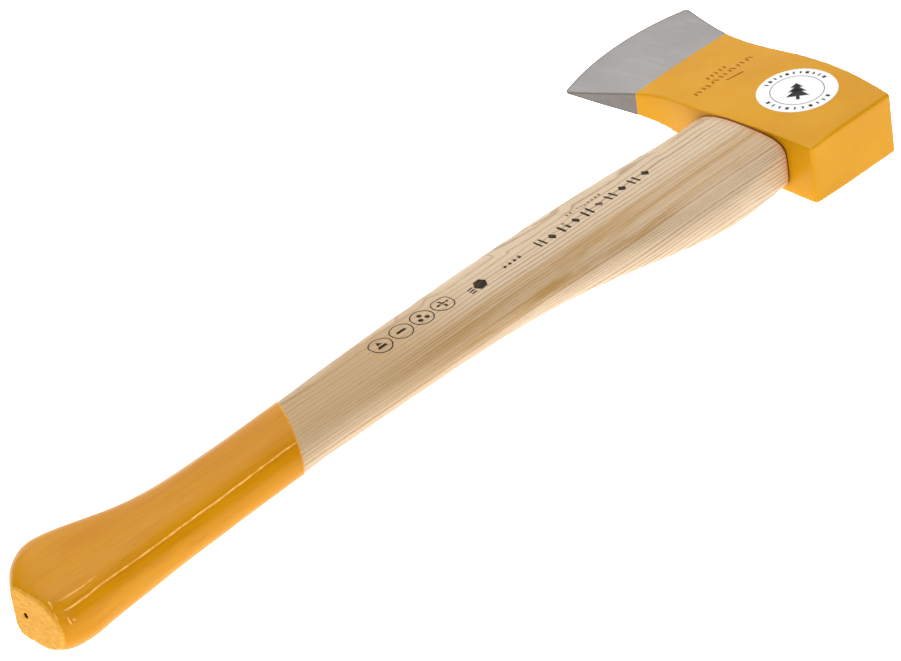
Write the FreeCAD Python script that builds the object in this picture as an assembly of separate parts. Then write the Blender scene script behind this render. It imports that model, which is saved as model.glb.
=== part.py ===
import FreeCAD, Part
import math
import os

# Felling and splitting axe: a forged steel head on a curved ash handle. The handle's tenon fills
# the head's eye, and a wooden wedge and a steel ring wedge spread it there.
#
# Row frame, in millimetres. The axe lies on its side: +X runs along the handle towards the head,
# +Y from the poll towards the cutting edge, +Z up through the cheeks. The origin is at the bottom
# centre of the whole axe's box.
#
# The functions below work in the head's own frame: x = 0 is near the middle of the poll, y = 0 is
# just inside its face, and z = 0 is midway between the cheeks. place_in_row_frame moves it all.

Vector = FreeCAD.Vector

# ---- driving dimensions: head ----------------------------------------------------------------
POLL_HALF = 16.5             # half the thickness across the cheeks at the poll
CHEEK_TAPER = 0.022          # each cheek closes in by this much per mm towards the edge
POLL_Y = -1.6                # face of the poll
POLL_FOOT_X = -27.7          # poll corner on the handle's side
POLL_CROWN_X = 28.8          # poll corner on the far side
HEEL_X = -39.6               # corners of the bit, before they are rounded
TOE_X = 52.2
EDGE_RADIUS = 150.0          # cutting edge, an arc about EDGE_CENTRE
EDGE_CENTRE = (11.0, 11.8)
STRAIGHT_UNDERSIDE = 72.0    # the underside is flat from the poll to here, where the handle sits
BEARD = ((-25.4, 97.0), (-27.6, 114.0), (-33.0, 131.0))    # then it curves through these points
CROWN = ((43.2, 132.0), (37.6, 113.0), (34.5, 88.0), (35.0, 52.0), (32.9, 20.0))
SWELL_RADIUS = 36.0          # the cheeks start to close this far from the arc's centre
SWELL_HALF = 15.6            # half thickness that the closing curve has there
SWELL_SLOPE = 0.06           # and its slope there
WEDGE_RADIUS = 69.0          # beyond this distance the cheeks are a straight wedge
WEDGE_HALF = 12.16           # half thickness where that wedge starts
BEVEL_WIDTH = 1.4            # honed bevel along the cutting edge
BEVEL_HALF = 0.45            # half thickness where the bevel starts
EDGE_LAND_HALF = 0.12        # half of the blunt land left at the edge itself
CORNER_RADIUS = 1.4          # forged rounding of the painted corners
TIP_REACH = 2.4              # how far the rounding of the bit's corners reaches from each corner
TIP_CUT = 0.9                # and how much it takes off there
HEEL_LEAN = 0.7              # how far each side leans inwards over that reach
TOE_LEAN = 0.9
RIM_END_Y = 145.0            # the forged rounding of the rims stops short of the edge
PAINT_EDGE_Y = 115.0         # the bit is bare steel beyond this line

# ---- driving dimensions: eye, tenon and wedges -----------------------------------------------
EYE_MID_Y = 46.0
EYE_MOUTH = (27.0, 10.2)     # half length and half width at the handle's side
EYE_WAIST = (26.0, 9.6)      # the eye is narrowest part of the way up
EYE_CROWN = (29.0, 11.2)     # and opens again towards the crown, where the wedges spread the wood
EYE_WAIST_X = -4.0
EYE_FLARE_X = 22.0           # the crown's mouth has its full size from here on
EYE_SQUARENESS = (4.0, 2.3)  # of the poll side and of the edge side
CROWN_OVER_EYE_X = 35.2      # height of the crown at the middle of the eye
TENON_PROUD = 1.0            # the tenon's end stands this far above the crown
KERF_DEPTH = 46.0
KERF_TOP_WIDTH = 5.2
KERF_ROOT_WIDTH = 1.4
RING_RADIUS = 8.5
RING_WALL = 1.6
RING_DEPTH = 15.0
RING_TAPER = 0.9             # the ring's wall thins to an edge by this much

# ---- driving dimensions: handle ---------------------------------------------------------------
HANDLE_REACH = 446.95        # butt face to the bevel at the shoulder that meets the head
DIP_LENGTH = 156.6           # butt face to the edge of the dipped lacquer, along the handle's middle
DIP_LEAN = 26.6              # degrees by which that edge leans, further up on the edge side
DIP_MID_Y = 53.2
SHOULDER_BEVEL = 0.7         # round the handle's rim where it meets the head
CENTRE_MARK_RADIUS = 1.5     # conical turning centre left in the butt
CENTRE_MARK_TIP = 0.3
CENTRE_MARK_DEPTH = 5.0
CENTRE_MARK_AT = (53.0, 0.5)

# Stations along the handle: distance from the butt face, poll-side y, edge-side y, half thickness,
# then how square the section is on its poll side and on its edge side (2 is an ellipse).
HANDLE_STATIONS = (
    (0.0, 29.8, 61.4, 12.8, 2.0, 5.6),       # butt face
    (2.5, 27.8, 65.4, 14.0, 2.2, 4.8),
    (6.0, 26.6, 70.2, 14.8, 2.5, 4.1),       # broad bevel round the butt
    (11.0, 26.1, 75.6, 15.1, 2.8, 3.7),
    (17.5, 26.0, 80.8, 15.0, 3.0, 3.3),
    (26.0, 26.6, 85.2, 14.6, 3.0, 2.9),      # widest part of the swell
    (40.0, 27.8, 83.6, 14.2, 2.9, 2.7),
    (70.0, 30.0, 73.4, 13.5, 2.5, 2.4),
    (105.0, 32.0, 70.6, 12.9, 2.4, 2.3),     # neck of the grip
    (150.5, 33.8, 72.5, 12.6, 2.3, 2.2),
    (200.0, 34.6, 75.6, 12.6, 2.3, 2.2),
    (260.0, 33.6, 78.4, 12.8, 2.3, 2.2),
    (315.0, 28.8, 79.6, 13.0, 2.4, 2.2),
    (365.0, 16.8, 79.5, 13.3, 2.9, 2.2),     # belly below the head
    (405.0, 10.0, 77.6, 13.8, 3.6, 2.1),
    (HANDLE_REACH, 14.4, 75.8, 14.3, 4.6, 2.1),   # shoulder
)

# ---- driving dimensions: films and label ------------------------------------------------------
PAINT_FILM = 0.15
DIP_FILM = 0.40
LABEL_RADIUS = 20.0
LABEL_THICKNESS = 0.15
LABEL_AT = (7.3, 38.8)

# ---- places that follow from the driving dimensions --------------------------------------------
SHOULDER_X = POLL_FOOT_X - PAINT_FILM
BUTT_X = SHOULDER_X - SHOULDER_BEVEL - HANDLE_REACH
TENON_END_X = CROWN_OVER_EYE_X + TENON_PROUD

SECTION_POINTS = 32          # points round a handle or eye section
REACH = 400.0                # longer than any cut needs


# ---- shared helpers ---------------------------------------------------------------------------
def polygon(points):
    """Closed face through points in order."""
    return Part.Face(Part.makePolygon(list(points) + [points[0]]))


def spline_edge(points, start_tangent, end_tangent):
    """Smooth edge through points, with the direction given at each end."""
    curve = Part.BSplineCurve()
    curve.interpolate(Points=points, InitialTangent=start_tangent, FinalTangent=end_tangent)
    return curve.toShape()


def section_wire(x, mid_y, half_length, half_width, poll_square, edge_square):
    """Closed oval across the X axis, whose squareness may differ on its two sides."""
    points = []
    for step in range(SECTION_POINTS):
        angle = 2 * math.pi * step / SECTION_POINTS
        along, across = math.cos(angle), math.sin(angle)
        power = edge_square if along > 0 else poll_square
        reach = (abs(along) ** power + abs(across) ** power) ** (-1 / power)
        points.append(Vector(x, mid_y + half_length * along * reach, half_width * across * reach))
    curve = Part.BSplineCurve()
    spacing = [step / SECTION_POINTS for step in range(SECTION_POINTS + 1)]
    curve.interpolate(Points=points, PeriodicFlag=True, Parameters=spacing)
    return Part.Wire(curve.toShape())


def box_above_x(level):
    """Large block that fills everything past x = level."""
    return Part.makeBox(REACH, REACH, REACH, Vector(level, -REACH / 2, -REACH / 2))


# ---- head -------------------------------------------------------------------------------------
def edge_point(x):
    """Point of the cutting edge at x."""
    return Vector(x, EDGE_CENTRE[1] + math.sqrt(EDGE_RADIUS ** 2 - (x - EDGE_CENTRE[0]) ** 2), 0)


def rounded_tip(corner, side):
    """Arc that rounds a corner of the bit, from the given point on its side to the cutting edge."""
    inward = EDGE_CENTRE[0] - corner.x
    along_edge = edge_point(corner.x + math.copysign(TIP_REACH, inward))
    to_middle = ((side + along_edge) / 2 - corner).normalize()
    return Part.Arc(side, corner + to_middle * TIP_CUT, along_edge).toShape()


def head_outline(grow):
    """Side view of the head: poll, underside, cutting edge and crown, moved outwards by grow."""
    foot_x = POLL_FOOT_X - grow
    crown_x = POLL_CROWN_X + grow
    foot = Vector(foot_x, POLL_Y - grow, 0)
    crown = Vector(crown_x, POLL_Y - grow, 0)
    heel, toe = edge_point(HEEL_X - grow), edge_point(TOE_X + grow)
    heel_side = heel + Vector(HEEL_LEAN, -TIP_REACH, 0)
    toe_side = toe + Vector(-TOE_LEAN, -TIP_REACH, 0)
    heel_tip, toe_tip = rounded_tip(heel, heel_side), rounded_tip(toe, toe_side)
    poll = Part.makeLine(crown, foot)
    throat = Vector(foot_x, STRAIGHT_UNDERSIDE, 0)
    underside = Part.makeLine(foot, throat)
    beard_points = [Vector(x - grow, y, 0) for x, y in BEARD]
    beard = spline_edge([throat] + beard_points + [heel_side], Vector(0, 1, 0), Vector(-0.3, 1, 0))
    cutting_edge = Part.Arc(heel_tip.Vertexes[-1].Point, edge_point(EDGE_CENTRE[0]),
                            toe_tip.Vertexes[-1].Point).toShape()
    crown_points = [Vector(x + grow, y, 0) for x, y in CROWN]
    crown_edge = spline_edge([toe_side] + crown_points + [crown], Vector(-0.38, -1, 0), Vector(-0.25, -1, 0))
    edges = [poll, underside, beard, heel_tip, cutting_edge, toe_tip, crown_edge]
    return Part.Wire(Part.__sortEdges__(edges))


def taper_slab(grow):
    """Everything between the two flat cheeks, which close in slightly from the poll."""
    def half_at(y):
        return POLL_HALF + grow - CHEEK_TAPER * (y - POLL_Y)

    behind, ahead, side = POLL_Y - 20, EDGE_RADIUS + 40, -REACH / 2
    face = polygon([Vector(side, behind, half_at(behind)), Vector(side, ahead, half_at(ahead)),
                    Vector(side, ahead, -half_at(ahead)), Vector(side, behind, -half_at(behind))])
    return face.extrude(Vector(REACH, 0, 0))


def rounded_prism(grow):
    """The outline at the poll's thickness, with its poll corners and its rims rounded."""
    half = POLL_HALF + grow
    prism = Part.Face(head_outline(grow)).extrude(Vector(0, 0, 2 * half))
    prism.translate(Vector(0, 0, -half))
    upright = [e for e in prism.Edges if e.BoundBox.ZLength > half and e.BoundBox.YMax < 1]
    rims = [e for e in prism.Edges if e.BoundBox.ZLength < 1 and e.BoundBox.YMin < RIM_END_Y]
    return prism.makeFillet(CORNER_RADIUS + grow, upright + rims)


def cheek_body(grow):
    """Cheeks that curve in from the swell and fall to the edge, turned about the arc's centre."""
    swell = Vector(SWELL_RADIUS, 0, SWELL_HALF + grow)
    middle = Vector(0, 0, SWELL_HALF + grow + SWELL_SLOPE * SWELL_RADIUS)
    wedge_start = Vector(WEDGE_RADIUS, 0, WEDGE_HALF + grow)
    bevel_start = Vector(EDGE_RADIUS - BEVEL_WIDTH, 0, BEVEL_HALF + grow)
    shoulder = spline_edge([swell, wedge_start], Vector(1, 0, -SWELL_SLOPE), bevel_start - wedge_start)
    past_edge = EDGE_RADIUS + 5
    corners = [wedge_start, bevel_start, Vector(EDGE_RADIUS, 0, EDGE_LAND_HALF + grow),
               Vector(past_edge, 0, EDGE_LAND_HALF + grow), Vector(past_edge, 0, 0),
               Vector(0, 0, 0), middle, swell]
    lines = [Part.makeLine(a, b) for a, b in zip(corners, corners[1:])]
    profile = Part.Face(Part.Wire(Part.__sortEdges__([shoulder] + lines)))
    upper = profile.revolve(Vector(0, 0, 0), Vector(0, 0, 1), 360)
    turned = upper.fuse(upper.mirror(Vector(0, 0, 0), Vector(0, 0, 1))).removeSplitter()
    turned.translate(Vector(*EDGE_CENTRE, 0))
    return turned


def head_blank(grow=0.0):
    """The head before its eye is made; grow swells it for the paint film."""
    return rounded_prism(grow).common(cheek_body(grow)).common(taper_slab(grow)).Solids[0]


def eye_core():
    """The space inside the eye, run on past both mouths."""
    def section(x, size):
        return section_wire(x, EYE_MID_Y, *size, *EYE_SQUARENESS)

    run_on = 4
    return Part.makeLoft(
        [section(POLL_FOOT_X - run_on, EYE_MOUTH), section(POLL_FOOT_X + run_on, EYE_MOUTH),
         section(EYE_WAIST_X, EYE_WAIST), section(EYE_FLARE_X, EYE_CROWN),
         section(2 * EYE_FLARE_X, EYE_CROWN)],
        True, False)


def make_head():
    return head_blank().cut(eye_core())


def make_head_paint():
    """Paint film over the poll, the cheeks and both mouths' faces, up to the bare bit."""
    bit = Part.makeBox(REACH, REACH, REACH, Vector(-REACH / 2, PAINT_EDGE_Y, -REACH / 2))
    return head_blank(PAINT_FILM).cut(bit).cut(head_blank()).cut(eye_core())


# ---- handle and its wedges --------------------------------------------------------------------
def handle_section(station, inset=0.0):
    """Outline of the handle at one station, drawn in by inset."""
    from_butt, poll_y, edge_y, half, poll_square, edge_square = station
    return section_wire(BUTT_X + from_butt, (poll_y + edge_y) / 2, (edge_y - poll_y) / 2 - inset,
                        half - inset, poll_square, edge_square)


def handle_wood(grow=0.0):
    """The handle from butt to shoulder; grow swells it for the dipped lacquer."""
    wires = [handle_section(station, -grow) for station in HANDLE_STATIONS]
    return Part.makeLoft(wires, True, False)


def shoulder_rim():
    """Bevelled rim between the handle and the head's underside."""
    outer = handle_section(HANDLE_STATIONS[-1])
    inner = handle_section(HANDLE_STATIONS[-1], SHOULDER_BEVEL)
    inner.translate(Vector(SHOULDER_BEVEL, 0, 0))
    return Part.makeLoft([outer, inner], True, True)


def tenon_wood():
    """The wood inside the eye, cut off just above the crown."""
    return eye_core().common(box_above_x(SHOULDER_X)).cut(box_above_x(TENON_END_X))


def kerf_wedge():
    """Tapered slot along the eye's length, which the wooden wedge fills."""
    top = TENON_END_X + 5
    root = TENON_END_X - KERF_DEPTH
    far = -REACH / 2
    face = polygon([Vector(top, far, KERF_TOP_WIDTH / 2), Vector(root, far, KERF_ROOT_WIDTH / 2),
                    Vector(root, far, -KERF_ROOT_WIDTH / 2), Vector(top, far, -KERF_TOP_WIDTH / 2)])
    return face.extrude(Vector(0, REACH, 0))


def make_ring_wedge():
    """Steel ring, sharp at the end that enters the wood."""
    top = TENON_END_X
    outer = RING_RADIUS
    face = polygon([Vector(top, outer - RING_WALL, 0), Vector(top, outer, 0),
                    Vector(top - RING_DEPTH, outer - RING_TAPER, 0),
                    Vector(top - RING_DEPTH, outer - RING_WALL, 0)])
    ring = face.revolve(Vector(0, 0, 0), Vector(1, 0, 0), 360)
    ring.translate(Vector(0, EYE_MID_Y, 0))
    return ring


def centre_mark():
    """Conical mark that the lathe's centre leaves in the butt."""
    mouth = Vector(BUTT_X - DIP_FILM, *CENTRE_MARK_AT)
    return Part.makeCone(CENTRE_MARK_RADIUS, CENTRE_MARK_TIP, CENTRE_MARK_DEPTH, mouth, Vector(1, 0, 0))


def make_handle():
    wood = handle_wood().fuse(shoulder_rim()).fuse(tenon_wood())
    return wood.cut(kerf_wedge()).cut(make_ring_wedge()).cut(centre_mark())


def make_wooden_wedge():
    return tenon_wood().common(kerf_wedge()).cut(make_ring_wedge())


def past_dip_line():
    """Everything past the lacquer's edge, which leans because the axe hung askew in the bath."""
    def line(y):
        return BUTT_X + DIP_LENGTH + (y - DIP_MID_Y) * math.tan(math.radians(DIP_LEAN))

    low, high, bottom = -REACH / 4, REACH / 2, -REACH / 2
    face = polygon([Vector(line(low), low, bottom), Vector(line(high), high, bottom),
                    Vector(REACH, high, bottom), Vector(REACH, low, bottom)])
    return face.extrude(Vector(0, 0, REACH))


def make_dip_coat():
    """Lacquer film over the grip and the butt, where the handle was dipped."""
    swollen = handle_wood(DIP_FILM)
    butt_cap = Part.Face(handle_section(HANDLE_STATIONS[0], -DIP_FILM)).extrude(Vector(-DIP_FILM, 0, 0))
    dipped = swollen.fuse(butt_cap).cut(past_dip_line())
    return dipped.cut(handle_wood()).cut(centre_mark())


# ---- label ------------------------------------------------------------------------------------
def make_label():
    """Round sticker that follows the upper cheek from the flat part into its gentle curve."""
    def cheeks(grow):
        return cheek_body(grow).common(taper_slab(grow))

    disc = Part.makeCylinder(LABEL_RADIUS, 2 * POLL_HALF, Vector(*LABEL_AT, 0))
    return disc.common(cheeks(PAINT_FILM + LABEL_THICKNESS)).cut(cheeks(PAINT_FILM))


# ---- assembly ---------------------------------------------------------------------------------
def place_in_row_frame(pieces):
    """Move every piece so that the origin is at the bottom centre of the whole axe."""
    box = Part.makeCompound(list(pieces.values())).optimalBoundingBox(False)
    shift = Vector(-(box.XMin + box.XMax) / 2, -(box.YMin + box.YMax) / 2, -box.ZMin)
    for shape in pieces.values():
        shape.translate(shift)
    return shift


def main():
    pieces = {
        "head": make_head(),
        "head_paint": make_head_paint(),
        "handle": make_handle(),
        "dip_coat": make_dip_coat(),
        "wooden_wedge": make_wooden_wedge(),
        "ring_wedge": make_ring_wedge(),
        "label": make_label(),
    }
    shift = place_in_row_frame(pieces)
    print("moved by", [round(value, 3) for value in shift])
    os.makedirs("parts", exist_ok=True)
    for node, shape in pieces.items():
        volume = round(shape.Volume / 1000, 2)
        print(node, "solids", len(shape.Solids), "valid", shape.isValid(), "cm3", volume)
        shape.exportStep("parts/" + node + ".step")


main()
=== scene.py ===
import math

import bmesh
import bpy
from mathutils import Matrix, Vector, noise
from mathutils.bvhtree import BVHTree


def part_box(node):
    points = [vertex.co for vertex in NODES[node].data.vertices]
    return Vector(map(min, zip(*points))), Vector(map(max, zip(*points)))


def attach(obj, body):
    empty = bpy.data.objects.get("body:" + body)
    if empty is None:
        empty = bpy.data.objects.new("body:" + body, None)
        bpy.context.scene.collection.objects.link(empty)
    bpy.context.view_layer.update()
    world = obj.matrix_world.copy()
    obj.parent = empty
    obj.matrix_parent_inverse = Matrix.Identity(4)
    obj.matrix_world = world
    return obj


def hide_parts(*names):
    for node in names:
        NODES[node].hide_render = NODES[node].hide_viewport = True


# Felling and splitting axe, lying on its cheek. Everything is in metres in the row frame: +X runs
# along the handle towards the head, +Y from the poll to the cutting edge, +Z up through the cheeks.

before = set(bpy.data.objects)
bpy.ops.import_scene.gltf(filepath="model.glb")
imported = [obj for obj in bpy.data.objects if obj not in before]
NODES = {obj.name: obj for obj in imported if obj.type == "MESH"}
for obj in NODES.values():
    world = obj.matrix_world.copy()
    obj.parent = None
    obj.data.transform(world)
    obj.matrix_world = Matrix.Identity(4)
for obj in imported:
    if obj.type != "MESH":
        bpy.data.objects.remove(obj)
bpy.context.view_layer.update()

MM = 0.001

# ---- places read from the frame -----------------------------------------------------------------
DIP_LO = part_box("dip_coat")[0]
PAINT_LO, PAINT_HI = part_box("head_paint")
HEAD_LO, HEAD_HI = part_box("head")
LABEL_LO, LABEL_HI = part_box("label")
MID_Z = (HEAD_LO.z + HEAD_HI.z) / 2
LABEL_CENTRE = (LABEL_LO + LABEL_HI) / 2
PAINT_LINE_Y = PAINT_HI.y    # the bit is bare steel beyond this line
UNDERSIDE_LENGTH = 30 * MM   # the head's underside is straight for at least this far from the poll
SHOULDER_X = min(v.co.x for v in NODES["head_paint"].data.vertices
                 if v.co.y < PAINT_LO.y + UNDERSIDE_LENGTH)
SHOULDER_MID_Y = LABEL_CENTRE.y + 6.4 * MM           # middle of the handle where it meets the head
MARK_ROW_Y = LABEL_CENTRE.y + 15.6 * MM              # line of the marks branded along the handle
BUTT_HOLE = (LABEL_CENTRE.y + 14.2 * MM, 0.5 * MM)   # the centre mark's y, and its height over the middle
DIP_LEAN = math.tan(math.radians(26.6))              # the dip's edge runs further up on the edge side
DIP_MIDDLE = (DIP_LO.x + 157.0 * MM, LABEL_CENTRE.y + 14.4 * MM)


# ---- camera and light ---------------------------------------------------------------------------
CAMERA_AZIMUTH = math.radians(-39.16)
CAMERA_ELEVATION = math.radians(34.13)
CAMERA_ROLL = math.radians(-9.42)
CAMERA_DISTANCE = 2.1131
CAMERA_LENS = 183.8
CAMERA_CLIP = (0.05, 50)
CAMERA_AIM = Vector((-0.00556, -0.02710, MID_Z))

# An overhead box, a weak one beside the camera, and a dim panel behind that the tops mirror.
# Each has a name, azimuth and elevation in degrees, distance and side in metres, and watts.
SOFT_BOXES = (
    ("overhead_softbox", 155, 72, 2.4, 2.2, 48),
    ("front_softbox", -30, 38, 2.4, 1.5, 14),
    ("back_panel", 141, 30, 2.0, 1.5, 9),
)
ROOM_STRENGTH = 0.18
FLOOR_GLOW = 1.55            # the sweep is lit from behind, so that it stays nearly white
FLOOR_HALF_SIZE = 6


def away_from(azimuth, elevation):
    """Unit vector from the object towards a place at this azimuth and elevation."""
    level = math.cos(elevation)
    return Vector((math.sin(azimuth) * level, -math.cos(azimuth) * level, math.sin(elevation)))


def make_camera():
    back = away_from(CAMERA_AZIMUTH, CAMERA_ELEVATION)
    right = Vector((math.cos(CAMERA_AZIMUTH), math.sin(CAMERA_AZIMUTH), 0))
    up = back.cross(right)
    cos, sin = math.cos(CAMERA_ROLL), math.sin(CAMERA_ROLL)
    axes = (cos * right + sin * up, cos * up - sin * right, back)
    data = bpy.data.cameras.new("camera")
    data.lens = CAMERA_LENS
    data.clip_start, data.clip_end = CAMERA_CLIP
    camera = bpy.data.objects.new("camera", data)
    turn = Matrix(axes).transposed().to_4x4()
    camera.matrix_world = Matrix.Translation(CAMERA_AIM + back * CAMERA_DISTANCE) @ turn
    bpy.context.collection.objects.link(camera)
    bpy.context.scene.camera = camera


def make_light(name, azimuth, elevation, distance, size, watts):
    """Square soft box that faces the axe."""
    data = bpy.data.lights.new(name, "AREA")
    data.size, data.energy = size, watts
    light = bpy.data.objects.new(name, data)
    towards = away_from(math.radians(azimuth), math.radians(elevation))
    light.location = CAMERA_AIM + towards * distance
    light.rotation_mode = "QUATERNION"
    light.rotation_quaternion = towards.to_track_quat("Z", "Y")
    bpy.context.collection.objects.link(light)


def make_studio():
    for soft_box in SOFT_BOXES:
        make_light(*soft_box)
    world = bpy.data.worlds.new("studio")
    world.use_nodes = True
    background = world.node_tree.nodes["Background"]
    background.inputs["Color"].default_value = (1, 1, 1, 1)
    background.inputs["Strength"].default_value = ROOM_STRENGTH
    bpy.context.scene.world = world
    bpy.context.scene.view_settings.view_transform = "Standard"


# ---- material helper ----------------------------------------------------------------------------
def tone(red, green, blue):
    """Linear colour from a display colour in 0 to 255."""
    def linear(value):
        value /= 255
        return value / 12.92 if value <= 0.04045 else ((value + 0.055) / 1.055) ** 2.4

    return linear(red), linear(green), linear(blue), 1.0


class Finish:
    """A material and short calls that build its node tree."""

    def __init__(self, name, roughness=0.5, metallic=0.0, coat=0.0, coat_roughness=0.1, specular=0.5):
        self.material = bpy.data.materials.new(name)
        self.material.use_nodes = True
        self.tree = self.material.node_tree
        self.shader = self.tree.nodes["Principled BSDF"]
        self.set(Roughness=roughness, Metallic=metallic)
        self.shader.inputs["Coat Weight"].default_value = coat
        self.shader.inputs["Coat Roughness"].default_value = coat_roughness
        self.shader.inputs["Specular IOR Level"].default_value = specular
        self.place = self.node("TexCoord").outputs["Object"]

    def join(self, value, socket):
        """Link a socket's value, or set a plain one."""
        if isinstance(value, bpy.types.NodeSocket):
            self.tree.links.new(value, socket)
        else:
            socket.default_value = value

    def node(self, kind, *values, **settings):
        """New node with its settings, its first inputs joined to values in order."""
        made = self.tree.nodes.new("ShaderNode" + kind)
        for key, value in settings.items():
            setattr(made, key, value)
        for value, socket in zip(values, made.inputs):
            self.join(value, socket)
        return made

    def set(self, **values):
        """Join values to the shader's inputs; an underscore stands for a space in a name."""
        for key, value in values.items():
            self.join(value, self.shader.inputs[key.replace("_", " ")])

    def math(self, operation, *values):
        return self.node("Math", *values, operation=operation).outputs[0]

    def product(self, first, *others):
        for other in others:
            first = self.math("MULTIPLY", first, other)
        return first

    def total(self, first, second):
        return self.math("ADD", first, second)

    def minus(self, first, second):
        return self.math("SUBTRACT", first, second)

    def axis(self, index):
        return self.node("SeparateXYZ", self.place).outputs[index]

    def from_line(self, y, z):
        """Distance from the line along X at y and z."""
        across, above = self.minus(self.axis(1), y), self.minus(self.axis(2), z)
        return self.math("SQRT", self.total(self.product(across, across), self.product(above, above)))

    def noise(self, x, y, z, detail=2.0, roughness=0.5):
        """Noise from 0 to 1 with so many features per metre along each axis."""
        made = self.node("TexNoise")
        stretched = self.node("VectorMath", self.place, (x, y, z), operation="MULTIPLY")
        self.join(stretched.outputs[0], made.inputs["Vector"])
        made.inputs["Scale"].default_value = 1.0
        made.inputs["Detail"].default_value = detail
        made.inputs["Roughness"].default_value = roughness
        return made.outputs[0]

    def spread(self, value, low, high, out_low=0.0, out_high=1.0):
        """Smooth step of value from low to high, which may be the smaller of the two."""
        made = self.node("MapRange", value, low, high, out_low, out_high, interpolation_type="SMOOTHSTEP")
        return made.outputs[0]

    def band(self, value, start, full, fading, end):
        """Rises from 0 at start to 1 at full, and falls from fading to end."""
        return self.product(self.spread(value, start, full), self.spread(value, end, fading))

    def blend(self, share, first, second):
        made = self.node("Mix", data_type="RGBA", blend_type="MIX")
        for value, index in ((share, 0), (first, 6), (second, 7)):
            self.join(value, made.inputs[index])
        return made.outputs[2]

    def bump(self, height, depth, under=None):
        """Normal from a height of 0 to 1 that stands for depth in metres."""
        made = self.node("Bump")
        made.inputs["Distance"].default_value = depth
        self.join(height, made.inputs["Height"])
        if under is not None:
            self.join(under, made.inputs["Normal"])
        return made.outputs[0]


# ---- ash ----------------------------------------------------------------------------------------
ASH_LIGHT = tone(217, 194, 163)
ASH_LINE = tone(158, 122, 84)
ASH_BROWN = tone(181, 142, 80)
ASH_BROWN_LINE = tone(158, 110, 66)
ASH_FIBRE = tone(176, 138, 100)
# reddish tint near the joint: partly the wood's own tint, partly soft shade painted below the joint
JOINT_TINT_AND_SHADE = tone(206, 132, 66)
# painted shade: dark line where the handle goes into the head, for the shadow in the gap
JOINT_SHADE = tone(96, 34, 0)
# painted shade inside the butt's hole
HOLE_SHADE = tone(52, 18, 0)
RING_SPACING = 1.5 * MM
RING_SWAY = 7 * MM           # how far the rings wander along the handle
RING_UNEVENNESS = 1.6        # how far a ring is from its even place, in rings
EARLY_WOOD = (0.0, 0.12, 0.14, 0.46)     # where in a ring the open pores come and go
PITH = Vector((0, SHOULDER_MID_Y + 53 * MM, MID_Z + 90 * MM))      # middle of the trunk, outside the handle
BROWN_RINGS = (92 * MM, 100 * MM, 108 * MM, 116 * MM)              # distances from the pith
BROWN_FADE = (-90 * MM, 0.0)         # the brown streaks are faint before the first and full past the second
FAR_HALF = (30 * MM, -60 * MM)       # from the first to the second, the wood grows browner as a whole
# the reddish tint and painted shade fade in over this span before the joint
JOINT_TINT_AND_SHADE_FADE = (SHOULDER_X - 5 * MM, SHOULDER_X - 1 * MM)
JOINT_LINE = (SHOULDER_X - 1.5 * MM, SHOULDER_X - 0.8 * MM, SHOULDER_X + 3 * MM, SHOULDER_X + 4 * MM)
HOLE_WOOD = (DIP_LO.x + 12 * MM, DIP_LO.x + 9 * MM)                # nothing here shows but the butt's hole
FIBRE_RELIEF = 0.045 * MM


def ash_rings(f):
    """Distance from the pith, and how dark the open pores in each ring's first wood are."""
    sway = f.product(f.minus(f.noise(3.5, 14, 14, 3), 0.5), RING_SWAY)
    radius = f.total(f.from_line(PITH.y, PITH.z), sway)
    rings = f.math("DIVIDE", radius, RING_SPACING)
    uneven = f.node("TexNoise", noise_dimensions="1D")
    f.join(f.product(rings, 0.35), uneven.inputs["W"])
    uneven.inputs["Scale"].default_value = 1.0
    within = f.math("FRACT", f.total(rings, f.product(uneven.outputs[0], RING_UNEVENNESS)))
    early = f.band(within, *EARLY_WOOD)
    strength = f.spread(f.noise(9, 90, 90), 0.25, 0.75, 0.35, 1.0)
    pores = f.spread(f.noise(170, 3400, 3400, 1), 0.50, 0.66)
    return radius, f.total(f.product(early, strength, 0.85), f.product(pores, early, 0.38))


def ash_finish(name="ash_oiled", light=ASH_LIGHT, line=ASH_LINE, brown=ASH_BROWN):
    """Ring-porous ash: growth rings about a distant pith, brown streaks, a reddish tint and painted shade at
    the joint, and painted shade in the butt's hole.
    """
    f = Finish(name, roughness=0.5, coat=0.05, coat_roughness=0.35, specular=0.35)
    radius, dark = ash_rings(f)
    along = f.axis(0)
    heart = f.spread(f.band(radius, *BROWN_RINGS), 0.0, 1.0, 0.12, 1.0)
    streaks = f.spread(f.noise(2.4, 260, 260, 3, 0.6), 0.34, 0.68, 0.4, 1.0)
    streaks = f.product(streaks, heart, f.spread(along, *BROWN_FADE, 0.15, 1.0))
    base = f.blend(streaks, light, brown)
    inner_rings = f.spread(radius, BROWN_RINGS[2], BROWN_RINGS[0], 0.25, 0.75)
    base = f.blend(f.product(f.spread(along, *FAR_HALF), inner_rings), base, brown)
    base = f.blend(dark, base, f.blend(streaks, line, ASH_BROWN_LINE))
    fibre = f.noise(60, 2600, 2600, 3, 0.65)
    base = f.blend(f.spread(fibre, 0.3, 0.75, 0.0, 0.2), base, ASH_FIBRE)
    # reddish tint next to the joint, partly painted shade
    base = f.blend(f.spread(along, *JOINT_TINT_AND_SHADE_FADE, 0.0, 0.5), base, JOINT_TINT_AND_SHADE)
    # painted shade: a dark line in the gap where the handle meets the head
    joint = f.band(along, *JOINT_LINE)
    base = f.blend(joint, base, JOINT_SHADE)
    # painted shade: the wood is dark here, where only the butt's hole shows it
    hole = f.spread(along, *HOLE_WOOD)
    f.set(Base_Color=f.blend(hole, base, HOLE_SHADE))
    rough = f.spread(fibre, 0.2, 0.8, 0.42, 0.56)
    f.set(Roughness=f.math("MAXIMUM", rough, f.math("MAXIMUM", joint, hole)))
    f.set(Normal=f.bump(f.minus(f.product(fibre, 0.5), f.product(dark, 0.6)), FIBRE_RELIEF))
    return f.material


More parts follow.
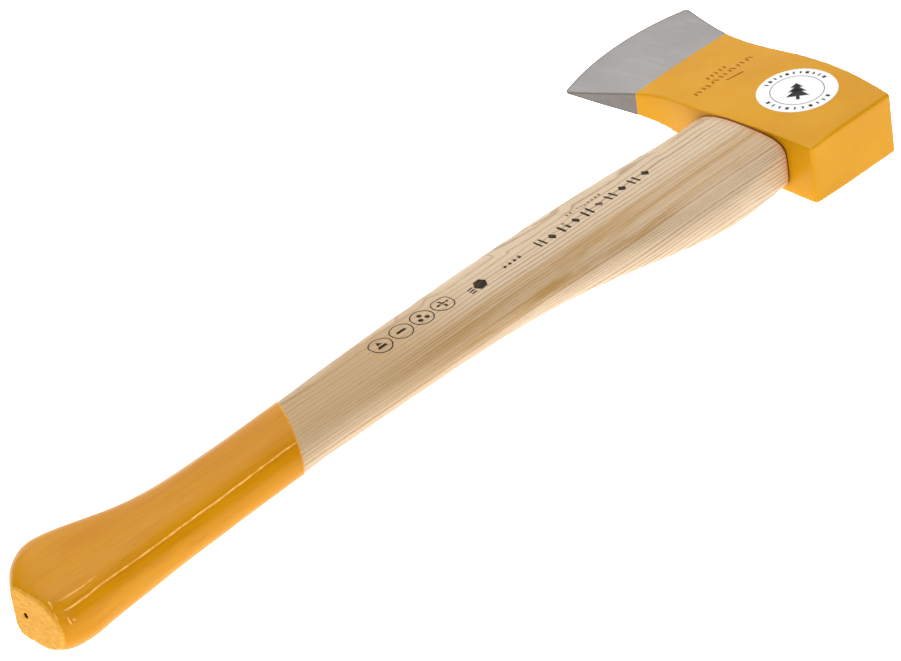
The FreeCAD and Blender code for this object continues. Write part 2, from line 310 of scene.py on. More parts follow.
def wedge_wood_finish():
    return ash_finish("wedge_wood_sawn", tone(198, 150, 104), tone(140, 96, 58), tone(170, 120, 76))


# ---- enamel and lacquer -------------------------------------------------------------------------
STRUCK = "struck"            # mesh attribute: how deep the stamp went, from 0 to 1
ENAMEL, ENAMEL_DEEP = tone(218, 155, 0), tone(211, 147, 0)
ENAMEL_SPECK = tone(170, 100, 0)
# darker in the stamp's strokes: partly paint pooled there, partly painted shade of the recess
ENAMEL_POOLED_AND_SHADE = tone(128, 68, 0)

LACQUER, LACQUER_DEEP = tone(212, 144, 0), tone(204, 134, 0)
LACQUER_GRAIN = tone(184, 106, 0)
# painted shade inside the butt's hole
LACQUER_HOLE_SHADE = tone(60, 24, 2)
# painted highlight: the runs and the lip at the dip's edge are coloured lighter than the lacquer, for the
# light they catch
RUN_HIGHLIGHT, RUN_HIGHLIGHT_DEEP = tone(250, 190, 96), tone(228, 156, 40)    # thick lacquer catches more light
BUTT_YELLOW, BUTT_PALE = tone(224, 160, 50), tone(238, 180, 84)

# Each fade runs from the distance where a look is absent to the one where it is full.
BUTT_FADE = (1.5 * MM, 0.9 * MM)     # from the butt's face
# painted highlight along the lip at the dip's edge
LIP_HIGHLIGHT_FADE = (0.75 * MM, 0.35 * MM)    # from the dip's edge
# where the painted shade in the butt's hole reaches
HOLE_SHADE_FADE = (1.7 * MM, 1.2 * MM)     # from the hole's middle
HOLE_SHADE_DEPTH_FADE = (8 * MM, 6 * MM)   # from the butt's face


def enamel_finish():
    """Orange-yellow enamel on a forging: slight orange peel, a few dust nibs, and darker struck marks, from
    pooled paint and painted shade.
    """
    f = Finish("head_enamel", roughness=0.4, coat=0.05, coat_roughness=0.2, specular=0.12)
    cloud = f.noise(28, 28, 28, 3)
    base = f.blend(f.spread(cloud, 0.3, 0.7), ENAMEL, ENAMEL_DEEP)
    specks = f.spread(f.noise(900, 900, 900, 2), 0.68, 0.74)
    base = f.blend(f.product(specks, 0.25), base, ENAMEL_SPECK)
    struck = f.node("Attribute", attribute_name=STRUCK).outputs["Fac"]
    # the struck strokes darken: pooled paint, and painted shade in the recess
    f.set(Base_Color=f.blend(f.product(struck, 0.9), base, ENAMEL_POOLED_AND_SHADE))
    f.set(Roughness=f.spread(f.noise(60, 60, 60, 3), 0.3, 0.7, 0.34, 0.46))
    peel = f.bump(f.noise(520, 520, 520, 2, 0.45), 0.03 * MM)
    f.set(Normal=f.bump(f.noise(110, 110, 110, 2), 0.10 * MM, peel))
    return f.material


def run_finish():
    """Ridges and blobs of built-up lacquer, painted paler than the grip's lacquer as a highlight."""
    f = Finish("grip_lacquer_runs", roughness=0.3, coat=0.1, coat_roughness=0.15, specular=0.3)
    cloud = f.noise(260, 260, 260, 3)
    # painted highlight: the runs are coloured lighter than the grip's lacquer
    f.set(Base_Color=f.blend(f.spread(cloud, 0.35, 0.65), RUN_HIGHLIGHT, RUN_HIGHLIGHT_DEEP))
    f.set(Roughness=f.spread(cloud, 0.3, 0.7, 0.26, 0.42))
    f.set(Normal=f.bump(f.noise(900, 900, 900, 2), 0.02 * MM))
    return f.material


def lacquer_finish():
    """Dipped lacquer over wood: the grain shows through, and the sawn butt drank it up unevenly; painted
    highlight on the dip's lip, painted shade in the butt's hole.
    """
    f = Finish("grip_lacquer_dipped", roughness=0.36, coat=0.04, coat_roughness=0.18, specular=0.12)
    cloud = f.noise(14, 40, 40, 3)
    base = f.blend(f.spread(cloud, 0.3, 0.7), LACQUER, LACQUER_DEEP)
    grain = f.noise(30, 620, 620, 3, 0.6)
    base = f.blend(f.spread(grain, 0.45, 0.75, 0.0, 0.3), base, LACQUER_GRAIN)
    from_butt = f.minus(f.axis(0), DIP_LO.x)
    butt = f.spread(from_butt, *BUTT_FADE)
    dabs = f.spread(f.noise(700, 300, 1100, 4, 0.7), 0.42, 0.68)
    base = f.blend(butt, base, f.blend(dabs, BUTT_YELLOW, BUTT_PALE))
    edge_shift = f.product(f.minus(f.axis(1), DIP_MIDDLE[1]), DIP_LEAN)
    from_edge = f.total(f.minus(edge_shift, f.axis(0)), DIP_MIDDLE[0])
    # painted highlight along the lip at the dip's edge, in patches
    lip_highlight_share = f.spread(f.noise(160, 300, 300, 2), 0.35, 0.6, 0.3, 0.8)
    base = f.blend(f.product(f.spread(from_edge, *LIP_HIGHLIGHT_FADE), lip_highlight_share), base, RUN_HIGHLIGHT)
    # painted shade: the lacquer goes dark brown inside the butt's hole
    hole_y, hole_z = BUTT_HOLE
    in_hole = f.spread(f.from_line(hole_y, MID_Z + hole_z), *HOLE_SHADE_FADE)
    hole = f.product(in_hole, f.spread(from_butt, *HOLE_SHADE_DEPTH_FADE))
    f.set(Base_Color=f.blend(hole, base, LACQUER_HOLE_SHADE))
    rough = f.spread(f.noise(40, 120, 120, 2), 0.3, 0.7, 0.3, 0.44)
    f.set(Roughness=f.math("MAXIMUM", rough, f.product(butt, 0.7)))
    fine = f.bump(grain, 0.05 * MM)
    f.set(Normal=f.bump(f.noise(12, 160, 160, 2), 0.16 * MM, fine))
    return f.material


# ---- steel, paper and ink -----------------------------------------------------------------------
STEEL, STEEL_BRIGHT = tone(142, 139, 137), tone(162, 158, 156)
STEEL_CLOUD = tone(132, 129, 126)
STEEL_RIM = tone(112, 107, 103)
# painted shade: a dark line along sharp edges and creases, for the shading of their slight rounding
STEEL_EDGE_SHADE = tone(58, 55, 52)
EDGE_SHADE_RADIUS = 1.7 * MM  # how far from a sharp edge the steel is dark
WEDGE_STEEL, WEDGE_RUST = tone(150, 148, 145), tone(112, 104, 98)
PAPER, PAPER_SHADE = tone(250, 250, 250), tone(242, 242, 243)

# Each ink has its dark tone, the tone of the surface that shows through, and how much it does.
LABEL_INK = (tone(44, 44, 48), tone(84, 84, 88), 0.4)
BRANDED_INK = (tone(26, 19, 14), tone(130, 96, 64), 0.6)
FAINT_INK = (tone(142, 110, 80), tone(190, 158, 120), 0.8)


def ground_steel_finish():
    """Bare bit: ground across both cheeks, duller on the forged rims, with painted shade along sharp edges.
    """
    f = Finish("bit_steel_ground", roughness=0.4, metallic=1.0)
    lines = f.noise(1800, 26, 200, 3, 0.7)
    cloud = f.noise(35, 35, 35, 3)
    base = f.blend(f.spread(lines, 0.3, 0.7), STEEL, STEEL_BRIGHT)
    base = f.blend(f.spread(cloud, 0.35, 0.7, 0.0, 0.35), base, STEEL_CLOUD)
    rounded = f.node("Bevel", EDGE_SHADE_RADIUS).outputs[0]
    true_normal = f.node("NewGeometry").outputs["Normal"]
    upright = f.math("ABSOLUTE", f.node("SeparateXYZ", true_normal).outputs[2])
    base = f.blend(f.spread(upright, 0.8, 0.5), base, STEEL_RIM)
    # painted shade: dark where the rounded normal parts from the true one, along sharp edges and creases
    match = f.node("VectorMath", rounded, true_normal, operation="DOT_PRODUCT").outputs["Value"]
    f.set(Base_Color=f.blend(f.spread(match, 0.99, 0.92, 0.0, 0.8), base, STEEL_EDGE_SHADE))
    f.set(Roughness=f.spread(lines, 0.25, 0.75, 0.34, 0.5))
    f.set(Normal=f.bump(f.noise(420, 14, 60, 2), 0.02 * MM, f.bump(lines, 0.012 * MM)))
    return f.material


def wedge_steel_finish():
    f = Finish("ring_wedge_steel", roughness=0.45, metallic=1.0)
    spots = f.noise(260, 260, 260, 4)
    f.set(Base_Color=f.blend(f.spread(spots, 0.4, 0.7), WEDGE_STEEL, WEDGE_RUST))
    f.set(Roughness=f.spread(spots, 0.3, 0.7, 0.35, 0.6))
    f.set(Normal=f.bump(f.noise(700, 700, 700, 3), 0.03 * MM))
    return f.material


def paper_finish():
    f = Finish("label_paper_white", roughness=0.5, coat=0.15, coat_roughness=0.3, specular=0.4)
    fibres = f.noise(900, 900, 900, 4, 0.7)
    f.set(Base_Color=f.blend(f.spread(fibres, 0.3, 0.7), PAPER, PAPER_SHADE))
    f.set(Roughness=f.spread(fibres, 0.3, 0.7, 0.45, 0.6))
    f.set(Normal=f.bump(fibres, 0.008 * MM))
    return f.material


def ink_finish(name, dark, worn, wear):
    """Printed or branded mark that lets the surface below show along the fibres."""
    f = Finish(name, roughness=0.7, specular=0.1)
    gaps = f.spread(f.noise(90, 1500, 1500, 3, 0.7), 0.5, 0.72, 0.0, wear)
    f.set(Base_Color=f.blend(gaps, dark, worn))
    f.set(Roughness=f.spread(gaps, 0.0, 1.0, 0.5, 0.7))
    f.set(Normal=f.bump(f.noise(400, 1800, 1800, 2), 0.01 * MM))
    return f.material


def dress(node, material):
    """Give a CAD node a material in each of its slots."""
    slots = NODES[node].data.materials
    for index in range(len(slots)):
        slots[index] = material


# ---- mesh helpers -------------------------------------------------------------------------------
UP = Vector((0, 0, 1))


def tree_of(*meshes):
    """Search tree over the surfaces of some meshes."""
    points, faces = [], []
    for mesh in meshes:
        start = len(points)
        points += [v.co.copy() for v in mesh.vertices]
        faces += [[start + v for v in polygon.vertices] for polygon in mesh.polygons]
    return BVHTree.FromPolygons(points, faces)


def make_piece(name, mesh, material, stands_for=()):
    """Named piece of the axe that rides on its one body."""
    piece = bpy.data.objects.new(name, mesh)
    bpy.context.collection.objects.link(piece)
    mesh.materials.clear()
    mesh.materials.append(material)
    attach(piece, "root")
    if stands_for:
        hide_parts(*stands_for)


def mesh_from(name, points, faces):
    mesh = bpy.data.meshes.new(name)
    mesh.from_pydata([tuple(p) for p in points], [], faces)
    mesh.validate()
    mesh.shade_smooth()
    return mesh


def mesh_of(bm, name):
    """New mesh from a bmesh, which is freed."""
    mesh = bpy.data.meshes.new(name)
    bm.to_mesh(mesh)
    bm.free()
    return mesh


def with_modifier(name, mesh, kind, **settings):
    """New mesh: the old one with one modifier applied."""
    carrier = bpy.data.objects.new(name, mesh)
    bpy.context.collection.objects.link(carrier)
    modifier = carrier.modifiers.new(kind, kind)
    for key, value in settings.items():
        setattr(modifier, key, value)
    graph = bpy.context.evaluated_depsgraph_get()
    result = bpy.data.meshes.new_from_object(carrier.evaluated_get(graph))
    result.name = name
    bpy.data.objects.remove(carrier)
    return result


def shift_along_normals(bm, distance):
    """Move every vertex along its normal by what distance(vertex) says."""
    bm.normal_update()
    moves = [vert.normal * distance(vert) for vert in bm.verts]
    for vert, move in zip(bm.verts, moves):
        vert.co += move


def ease(value, low, high):
    """Smooth step from 0 at low to 1 at high."""
    t = min(1.0, max(0.0, (value - low) / (high - low)))
    return t * t * (3 - 2 * t)


# ---- the head: enamel and steel -----------------------------------------------------------------
VOXEL = 0.5 * MM
SMOOTHING_ROUNDS = 5
TRIM_MARGIN = 3 * MM         # kept past the paint line while the skin is smoothed
FORGING_WAVES = 0.10 * MM
WAVES_END = 4 * MM           # the waves fade out over this distance from the paint line
STEEL_INSET = 0.8 * MM       # the steel is drawn in by this much below the enamel
INSET_START, INSET_FULL = 1 * MM, 3 * MM     # distances from the paint line
SHARP_ANGLE = math.radians(24)
WELD = 0.002 * MM

STAMP_DEPTH = 0.42 * MM
STAMP_HALF_WIDTH = 0.38 * MM
STAMP_RIM = 0.03 * MM        # metal raised beside each stroke
STAMP_MARGIN = 1.5 * MM
STAMP_START = (LABEL_CENTRE.x - 25.1 * MM, LABEL_CENTRE.y + 44.5 * MM)   # first stroke of the long row
STAMP_PITCH = 3.07 * MM
STAMP_COUNT = 14
STAMP_HALF_HEIGHTS = (1.3 * MM, 0.936 * MM, 1.144 * MM)     # taken in turn
STAMP_LEANS = (0.9 * MM, -0.6 * MM, 0.3 * MM, 0.0)          # taken in turn
SHORT_ROW_COUNT = 5
SHORT_ROW_START = (14.5 * MM, 4.4 * MM)                     # from the long row's first stroke
SHORT_ROW_PITCH = 3.0 * MM
SHORT_STROKE = (0.4 * MM, 2.0 * MM)
UNDERLINE = ((17.5 * MM, -5.2 * MM), (26.5 * MM, -7.2 * MM))


def stamp_strokes():
    """Plain strokes struck into the cheek, as pairs of end points in x and y."""
    x, y = STAMP_START
    strokes = []
    for index in range(STAMP_COUNT):
        left = x + index * STAMP_PITCH
        half = STAMP_HALF_HEIGHTS[index % len(STAMP_HALF_HEIGHTS)]
        lean = STAMP_LEANS[index % len(STAMP_LEANS)]
        strokes.append(((left, y - half), (left + lean, y + half)))
    for index in range(SHORT_ROW_COUNT):
        left, foot = x + SHORT_ROW_START[0] + index * SHORT_ROW_PITCH, y + SHORT_ROW_START[1]
        strokes.append(((left, foot), (left + SHORT_STROKE[0], foot + SHORT_STROKE[1])))
    strokes.append(tuple((x + dx, y + dy) for dx, dy in UNDERLINE))
    return strokes


def distance_to_stroke(x, y, stroke):
    (ax, ay), (bx, by) = stroke
    dx, dy = bx - ax, by - ay
    along = max(0.0, min(1.0, ((x - ax) * dx + (y - ay) * dy) / (dx * dx + dy * dy)))
    return math.hypot(x - ax - along * dx, y - ay - along * dy)


def strike_stamp(bm):
    """Refine the cheek where it is stamped, then press the strokes into it."""
    strokes = stamp_strokes()
    ends = [end for stroke in strokes for end in stroke]
    lo_x, hi_x = min(x for x, y in ends) - STAMP_MARGIN, max(x for x, y in ends) + STAMP_MARGIN
    lo_y, hi_y = min(y for x, y in ends) - STAMP_MARGIN, max(y for x, y in ends) + STAMP_MARGIN

    def inside(co):
        return lo_x < co.x < hi_x and lo_y < co.y < hi_y and co.z > MID_Z

    edges = [e for e in bm.edges if inside(e.verts[0].co) and inside(e.verts[1].co)]
    bmesh.ops.subdivide_edges(bm, edges=edges, cuts=2, use_grid_fill=True)
    depth = bm.verts.layers.float.new(STRUCK)
    for vert in bm.verts:
        if inside(vert.co):
            gap = min(distance_to_stroke(vert.co.x, vert.co.y, stroke) for stroke in strokes)
            press = 1 - ease(gap, 0.0, STAMP_HALF_WIDTH * 2)
            vert[depth] = press
            rim = math.exp(-((gap - 3 * STAMP_HALF_WIDTH) / STAMP_HALF_WIDTH) ** 2)
            vert.co.z += STAMP_RIM * rim - STAMP_DEPTH * press


def cut_past(bm, y):
    """Remove everything past y, and return the edges along the cut."""
    geometry = bm.verts[:] + bm.edges[:] + bm.faces[:]
    cut = bmesh.ops.bisect_plane(bm, geom=geometry, plane_co=(0, y, 0), plane_no=(0, 1, 0), clear_outer=True)
    return [e for e in cut["geom_cut"] if isinstance(e, bmesh.types.BMEdge)]


def forging_wave(vert):
    """Height of the forging's unevenness, which dies out at the paint line."""
    wave = noise.noise(vert.co * 70) + 0.5 * noise.noise(vert.co * 190)
    return wave * FORGING_WAVES * ease(PAINT_LINE_Y - vert.co.y, 0.0, WAVES_END)


def make_head_paint(material):
    """The painted head as one soft-edged skin up to the bare bit, which it ends against."""
    bm = bmesh.new()
    for node in ("head", "head_paint"):
        bm.from_mesh(NODES[node].data)
    solid = mesh_of(bm, "head_paint_solid")
    rough = with_modifier("head_paint_rough", solid, "REMESH", mode="VOXEL", voxel_size=VOXEL)
    bm = bmesh.new()
    bm.from_mesh(rough)
    cut_past(bm, PAINT_LINE_Y + TRIM_MARGIN)
    for _ in range(SMOOTHING_ROUNDS):
        free = [v for v in bm.verts if not v.is_boundary]
        bmesh.ops.smooth_vert(bm, verts=free, factor=0.5, use_axis_x=True, use_axis_y=True, use_axis_z=True)
    rim = cut_past(bm, PAINT_LINE_Y)
    bmesh.ops.contextual_create(bm, geom=rim)
    shift_along_normals(bm, forging_wave)
    strike_stamp(bm)
    mesh = mesh_of(bm, "head_enamel")
    mesh.shade_smooth()
    make_piece("head_enamel", mesh, material, ("head_paint",))


def steel_inset(vert):
    return -STEEL_INSET * ease(PAINT_LINE_Y - vert.co.y, INSET_START, INSET_FULL)


def make_bit(material):
    """The forged head in bare steel, drawn in a little wherever the enamel covers it."""
    bm = bmesh.new()
    bm.from_mesh(NODES["head"].data)
    bmesh.ops.remove_doubles(bm, verts=bm.verts, dist=WELD)
    shift_along_normals(bm, steel_inset)
    mesh = mesh_of(bm, "head_steel")
    mesh.shade_smooth()
    mesh.set_sharp_from_angle(angle=SHARP_ANGLE)
    make_piece("head_steel", mesh, material, ("head",))


# ---- the grip's lacquer -------------------------------------------------------------------------
FAN_DEPTH = 30 * MM          # rays for the butt start this far inside it
FAN_RINGS = 90
SIDE_STEP = 1.0 * MM
ROUND_COUNT = 256
OUTSIDE = 0.12               # rays start this far out and run inwards, so they begin clear of the grip
HOLE_DEPTH = 4.6 * MM
HOLE_CALM = (1.6 * MM, 3 * MM)       # the unevenness sets in between these distances from the hole's middle
LIP_HEIGHT = 0.26 * MM
LIP_WIDTH = 0.9 * MM
SKIN_SINK = 0.12 * MM        # keeps the high spots near the real surface
SKIN_THICKNESS = 0.35 * MM
SAG_HEIGHT = 0.10 * MM
BUTT_ROUGHNESS = (0.20 * MM, 0.16 * MM)      # heights of its coarse and its fine unevenness
BUTT_ROUGH_END = (0.5 * MM, 3 * MM)          # it dies out over these distances from the butt's face


def outermost(tree, centre, direction):
    """Where a line from far outside towards centre first meets the surface."""
    hit = tree.ray_cast(centre + direction * OUTSIDE, -direction, OUTSIDE)[0]
    return hit if hit is not None else centre


def lacquer_relief(point):
    """Height of the lacquer's unevenness at a point, which is greater on the butt's face."""
    on_butt = 1 - ease(point.x - DIP_LO.x, *BUTT_ROUGH_END)
    sag = SAG_HEIGHT * noise.noise(Vector((point.x * 25, point.y * 110, point.z * 110)))
    coarse, fine = BUTT_ROUGHNESS
    rough = coarse * noise.noise(point * 330) + fine * noise.noise(point * 800)
    return sag + on_butt * rough


def dip_rows(tree, heart):
    """Rings of points on the surface: a fan over the butt, then rings that tilt into the dip's edge."""
    turns = [2 * math.pi * step / ROUND_COUNT for step in range(ROUND_COUNT)]
    outwards = [Vector((0, math.cos(turn), math.sin(turn))) for turn in turns]
    rows = []
    for ring in range(1, FAN_RINGS + 1):
        tilt = math.pi / 2 * ring / FAN_RINGS
        back = Vector((-math.cos(tilt), 0, 0))
        rows.append([outermost(tree, heart, back + out * math.sin(tilt)) for out in outwards])
    end = Vector((*DIP_MIDDLE, MID_Z))
    count = int((end.x - heart.x) / SIDE_STEP)
    for index in range(1, count + 1):
        share = index / count
        lean = DIP_LEAN * ease(share, 0, 1)
        centre = heart.lerp(end, share)
        rays = [Vector((lean * out.y, out.y, out.z)).normalized() for out in outwards]
        rows.append([outermost(tree, centre, ray) for ray in rays])
    return rows


def lacquer_point(point, heart):
    """A point of the surface lifted to the lacquer's own, with the lip and the unevenness."""
    outward = (point - Vector((max(point.x, heart.x), heart.y, heart.z))).normalized()
    from_end = DIP_MIDDLE[0] + (point.y - DIP_MIDDLE[1]) * DIP_LEAN - point.x
    lip = LIP_HEIGHT * math.exp(-((from_end - LIP_WIDTH / 2) / (LIP_WIDTH / 2)) ** 2)
    calm = ease(math.hypot(point.y - heart.y, point.z - heart.z), *HOLE_CALM)
    return point + outward * (lip + calm * (lacquer_relief(point) - SKIN_SINK))


def make_dip_coat(material):
    """Lacquer skin over the butt and grip, with a raised lip where the dip ended."""
    tree = tree_of(NODES["dip_coat"].data, NODES["handle"].data)
    hole_y, hole_z = BUTT_HOLE
    heart = Vector((DIP_LO.x + FAN_DEPTH, hole_y, MID_Z + hole_z))
    rows = dip_rows(tree, heart)
    points = [heart + Vector((HOLE_DEPTH - FAN_DEPTH, 0, 0))]
    points += [lacquer_point(point, heart) for row in rows for point in row]
    faces = [(0, 1 + (s + 1) % ROUND_COUNT, 1 + s) for s in range(ROUND_COUNT)]
    for index in range(len(rows) - 1):
        here, there = 1 + index * ROUND_COUNT, 1 + (index + 1) * ROUND_COUNT
        for step in range(ROUND_COUNT):
            after = (step + 1) % ROUND_COUNT
            faces.append((here + step, here + after, there + after, there + step))
    skin = mesh_from("grip_lacquer", points, faces)
    mesh = with_modifier("grip_lacquer", skin, "SOLIDIFY",
                         thickness=SKIN_THICKNESS, offset=-1.0, use_rim=True)
    mesh.shade_smooth()
    make_piece("grip_lacquer", mesh, material, ("dip_coat",))
    make_runs(tree_of(mesh), run_finish())


# ---- runs and blobs in the lacquer, on the side away from the edge ------------------------------
# Each has a half width and a height in millimetres, then its way, as distances from the butt and
# above the mid-plane.
RUNS = {
    "lacquer_run_long": (0.55, 0.36, ((5, 10.2), (14, 10.9), (27, 10.8), (40, 10.2), (62, 9.6),
                                      (100, 9.1), (149, 9.2))),
    "lacquer_run_short": (0.5, 0.22, ((5.5, 12.9), (12.4, 13.3), (20, 13.1), (28, 12.6))),
    "lacquer_drip": (0.45, 0.35, ((4.8, 8.2), (5.0, 6.0), (5.4, 3.4))),
    "lacquer_bead": (0.7, 0.3, ((6.4, 6.6), (7.2, 5.9), (7.8, 5.0))),
    "lacquer_chip_upper": (1.2, 0.5, ((2.9, 13.2), (2.6, 12.0), (2.1, 10.8))),
    "lacquer_chip_lower": (0.6, 0.45, ((1.8, 10.0), (1.5, 8.4), (1.6, 6.8))),
}
RUN_STEP = 0.4 * MM
RUN_TAPER = 2.0 * MM
RUN_UNEVENNESS = 0.3         # share by which a run's width and height vary
RUN_SWAY = 0.35              # share of its half width by which it sways
RUN_START_Y = DIP_LO.y - 0.1         # rays start here, well outside the grip
RUN_SECTION = ((-1.0, -0.5), (-0.6, 0.65), (0.0, 1.0), (0.6, 0.65), (1.0, -0.5))     # shares of both sizes


def run_stations(way):
    """Points along a way, about a step apart, in millimetres."""
    stations = []
    for (x, z), (next_x, next_z) in zip(way, way[1:]):
        count = math.ceil(math.hypot(next_x - x, next_z - z) * MM / RUN_STEP)
        stations += [(x + (next_x - x) * k / count, z + (next_z - z) * k / count) for k in range(count)]
    return stations


def make_run(name, half_width, height, way, tree, material):
    """Low ridge that follows a way on a surface and tapers at both ends."""
    hits = []
    for x, z in run_stations(way):
        start = Vector((DIP_LO.x + x * MM, RUN_START_Y, MID_Z + z * MM))
        hits.append(tree.ray_cast(start, Vector((0, 1, 0)))[:2])
    points = []
    last = len(hits) - 1
    for index, (place, normal) in enumerate(hits):
        ahead = hits[min(index + 1, last)][0] - hits[max(index - 1, 0)][0]
        side = normal.cross(ahead).normalized()
        full = math.sqrt(min(1.0, min(index, last - index) * RUN_STEP / RUN_TAPER))
        full *= 1 + RUN_UNEVENNESS * noise.noise(place * 240)
        sway = RUN_SWAY * half_width * noise.noise(place * 110)
        for across, up in RUN_SECTION:
            offset = side * (across * half_width * full + sway) + normal * up * height * full
            points.append(place + MM * offset)
    count = len(RUN_SECTION)
    faces = [tuple(range(count)), tuple(last * count + k for k in reversed(range(count)))]
    for index in range(last):
        for k in range(count):
            here, after = index * count + k, index * count + (k + 1) % count
            faces.append((after, here, here + count, after + count))
    mesh = mesh_from(name, points, faces)
    bm = bmesh.new()
    bm.from_mesh(mesh)
    bmesh.ops.remove_doubles(bm, verts=bm.verts, dist=WELD / 2)
    bmesh.ops.recalc_face_normals(bm, faces=bm.faces)
    bm.to_mesh(mesh)
    bm.free()
    make_piece(name, mesh, material)


def make_runs(tree, material):
    for name, (half_width, height, way) in RUNS.items():
        make_run(name, half_width, height, way, tree, material)


# ---- printed marks: flat shapes in millimetres --------------------------------------------------
PRINT_STEP = 1.6 * MM        # longest edge that follows a curved surface well
PRINT_LIFT = 0.03 * MM
PRINT_WELD = 0.01 * MM
PRINT_DROP_Z = 0.1           # shapes drop onto the surface from here
SPLIT_ROUNDS = 4
HOOP_SIDES = 48


def bar(x, y, width, height):
    """Upright rectangle about a centre, as a list of corners."""
    w, h = width / 2, height / 2
    return [(x - w, y - h), (x + w, y - h), (x + w, y + h), (x - w, y + h)]


def diamond(x, y, width, height):
    return [(x - width / 2, y), (x, y - height / 2), (x + width / 2, y), (x, y + height / 2)]


def disc(x, y, radius, sides=16):
    turns = [2 * math.pi * k / sides for k in range(sides)]
    return [(x + radius * math.cos(t), y + radius * math.sin(t)) for t in turns]


def hoop(radius, line):
    """Thin ring about the origin, as a list of four-cornered shapes."""
    inner, outer = radius - line / 2, radius + line / 2
    shapes = []
    for k in range(HOOP_SIDES):
        a, b = (2 * math.pi * (k + end) / HOOP_SIDES for end in (0, 1))
        corners = ((inner, a), (outer, a), (outer, b), (inner, b))
        shapes.append([(r * math.cos(t), r * math.sin(t)) for r, t in corners])
    return shapes


def turned(shape, angle):
    """The shape turned about the origin."""
    cos, sin = math.cos(angle), math.sin(angle)
    return [(x * cos - y * sin, x * sin + y * cos) for x, y in shape]


def split_many_sided(bm):
    bmesh.ops.triangulate(bm, faces=[face for face in bm.faces if len(face.verts) > 4])


def make_print(name, shapes, centre, tree, material):
    """Thin ink on a surface: flat shapes in millimetres, placed about centre and dropped onto it."""
    bm = bmesh.new()
    for shape in shapes:
        bm.faces.new([bm.verts.new((centre[0] + x * MM, centre[1] + y * MM, 0)) for x, y in shape])
    bmesh.ops.remove_doubles(bm, verts=bm.verts, dist=PRINT_WELD)
    split_many_sided(bm)
    for _ in range(SPLIT_ROUNDS):
        long_edges = [edge for edge in bm.edges if edge.calc_length() > PRINT_STEP]
        if long_edges:
            bmesh.ops.subdivide_edges(bm, edges=long_edges, cuts=1)
            split_many_sided(bm)
    for vert in bm.verts:
        start = Vector((vert.co.x, vert.co.y, PRINT_DROP_Z))
        vert.co = tree.ray_cast(start, -UP)[0] + UP * PRINT_LIFT
    bmesh.ops.recalc_face_normals(bm, faces=bm.faces)
    if sum(face.normal.z for face in bm.faces) < 0:
        bmesh.ops.reverse_faces(bm, faces=bm.faces)
    flat = mesh_of(bm, name)
    mesh = with_modifier(name, flat, "SOLIDIFY", thickness=2 * PRINT_LIFT, offset=-1.0)
    make_piece(name, mesh, material)


# ---- the label's print, in millimetres about the label's centre ---------------------------------
LABEL_TURN = math.radians(-45)
LABEL_RING, LABEL_RING_LINE = 13.2, 0.35
CONIFER_TIERS = ((-5.5, 11.5), (-1.2, 9.0), (2.8, 6.4))     # foot and width of each
CONIFER_STEEPNESS = 0.62
CONIFER_TRUNK = bar(0, -7.0, 1.8, 3.2)
TICK_ARCS = ((35, 150, 11), (210, 330, 10))                 # first and last in degrees, and how many
TICK_RADIUS, TICK_HEIGHT = 16.6, 2.1
TICK_WIDTHS = (1.7, 0.9, 0.9)                               # taken in turn


def make_label_print(material):
    """Plain conifer inside a thin ring, with a broken band of ticks round the rim."""
    shapes = hoop(LABEL_RING, LABEL_RING_LINE)
    for foot, width in CONIFER_TIERS:
        shapes.append([(-width / 2, foot), (width / 2, foot), (0, foot + width * CONIFER_STEEPNESS)])
    shapes.append(CONIFER_TRUNK)
    for first, last, count in TICK_ARCS:
        for k in range(count):
            angle = math.radians(first + (last - first) * k / (count - 1))
            tick = bar(0, TICK_RADIUS, TICK_WIDTHS[k % len(TICK_WIDTHS)], TICK_HEIGHT)
            shapes.append(turned(tick, angle - math.pi / 2))
    shapes = [turned(shape, LABEL_TURN) for shape in shapes]
    make_print("label_print", shapes, LABEL_CENTRE, tree_of(NODES["label"].data), material)


# ---- the handle's marks, in millimetres ---------------------------------------------------------
ROW_COUNT, ROW_PITCH = 10, 7.9
PAIR_HALF_GAP = 1.6
BAR_SIZE, DIAMOND_SIZE, FAINT_SIZE = (1.2, 6.2), (4.4, 5.6), (1.3, 1.6)
FAINT_COUNT, FAINT_PITCH, FAINT_RISE = 10, 2.4, 7.0
SIGN_HOOP, SIGN_LINE = 5.7, 0.6
SIGN_START, SIGN_PITCH, SIGN_RISE = -4.0, 13.3, 3.0
ROW_X, SMALL_X, HEXAGON_X = 92.9, 38.3, 16.0                # middle of each group along the handle

SMALL_MARKS = [bar(3.2 * (k - 1.5), 0, 1.5, 2.4) for k in range(4)]
HEXAGON_MARKS = [disc(1.5, 0, 3.6, 6)] + [bar(-4.0, y, 3.0, 0.8) for y in (1.4, -0.2, -1.8)]
SIGNS = (
    [bar(0, 0, 1.3, 7.0), bar(0, 0, 7.0, 1.3)],                                 # plus
    [disc(-2.0, -1.4, 1.3), disc(2.0, -1.4, 1.3), disc(0, 2.0, 1.3)],           # three dots
    [bar(0, 0, 5.5, 1.6)],                                                      # dash
    [[(-3.0, -2.4), (3.0, -2.4), (0, 3.2)]],                                    # triangle
)


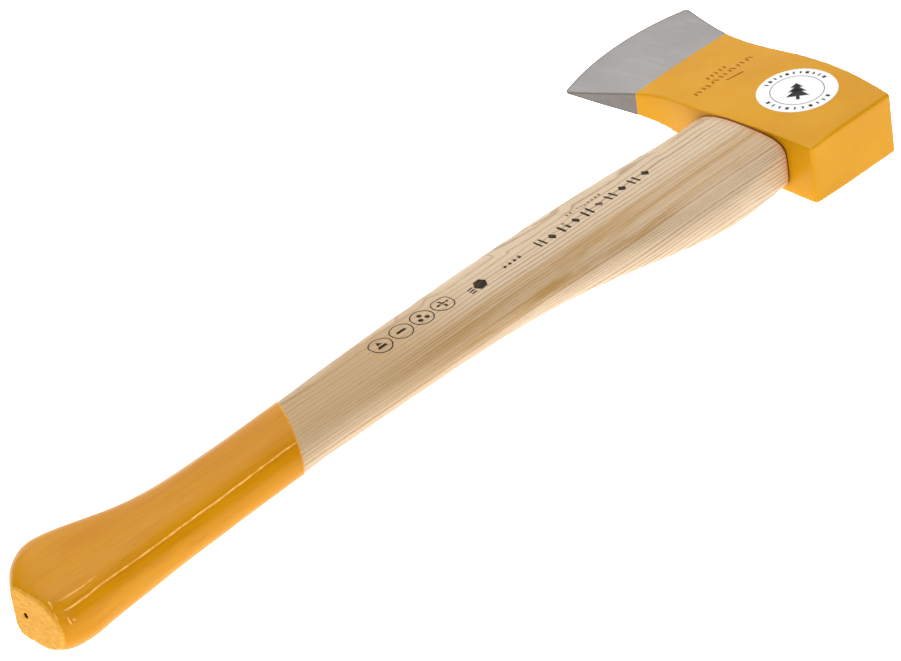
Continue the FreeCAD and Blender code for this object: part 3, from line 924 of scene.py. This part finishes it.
def long_row():
    """Pairs of bars with a diamond after each pair."""
    shapes = []
    for k in range(ROW_COUNT):
        x = ROW_PITCH * (k - (ROW_COUNT - 1) / 2)
        if k % 2:
            shapes.append(diamond(x, 0, *DIAMOND_SIZE))
        else:
            shapes += [bar(x - PAIR_HALF_GAP, 0, *BAR_SIZE), bar(x + PAIR_HALF_GAP, 0, *BAR_SIZE)]
    return shapes


def make_handle_prints(material, faint_material):
    """Rows of plain bars, a hexagon and four ringed signs, branded along the top of the handle."""
    tree = tree_of(NODES["handle"].data)

    def brand(name, shapes, x, rise, ink):
        make_print(name, shapes, (x * MM, MARK_ROW_Y + rise * MM), tree, ink)

    brand("handle_mark_row", long_row(), ROW_X, 0, material)
    brand("handle_mark_small", SMALL_MARKS, SMALL_X, 0, material)
    brand("handle_mark_hexagon", HEXAGON_MARKS, HEXAGON_X, 0, material)
    for index, sign in enumerate(SIGNS):
        shapes = hoop(SIGN_HOOP, SIGN_LINE) + sign
        brand(f"handle_sign_{index + 1}", shapes, SIGN_START - SIGN_PITCH * index, SIGN_RISE, material)
    first = -FAINT_PITCH * (FAINT_COUNT - 1) / 2
    faint_row = [bar(first + FAINT_PITCH * k, 0, *FAINT_SIZE) for k in range(FAINT_COUNT)]
    brand("handle_mark_faint", faint_row, ROW_X, FAINT_RISE, faint_material)


# ---- the scene ----------------------------------------------------------------------------------
def make_floor():
    """Pale translucent sweep that the axe lies on."""
    bm = bmesh.new()
    bmesh.ops.create_grid(bm, x_segments=4, y_segments=4, size=FLOOR_HALF_SIZE)
    mesh = mesh_of(bm, "floor")
    floor = bpy.data.objects.new("floor", mesh)
    bpy.context.collection.objects.link(floor)
    f = Finish("floor_pale", roughness=0.9, specular=0.1)
    f.set(Base_Color=(0.5, 0.5, 0.5, 1), Emission_Color=(1, 1, 1, 1), Emission_Strength=FLOOR_GLOW)
    mesh.materials.append(f.material)


make_camera()
make_studio()
make_floor()

dress("handle", ash_finish())
dress("wooden_wedge", wedge_wood_finish())
dress("ring_wedge", wedge_steel_finish())
dress("label", paper_finish())
make_head_paint(enamel_finish())
make_bit(ground_steel_finish())
make_dip_coat(lacquer_finish())
make_label_print(ink_finish("label_ink", *LABEL_INK))
make_handle_prints(ink_finish("branded_mark", *BRANDED_INK), ink_finish("faint_mark", *FAINT_INK))
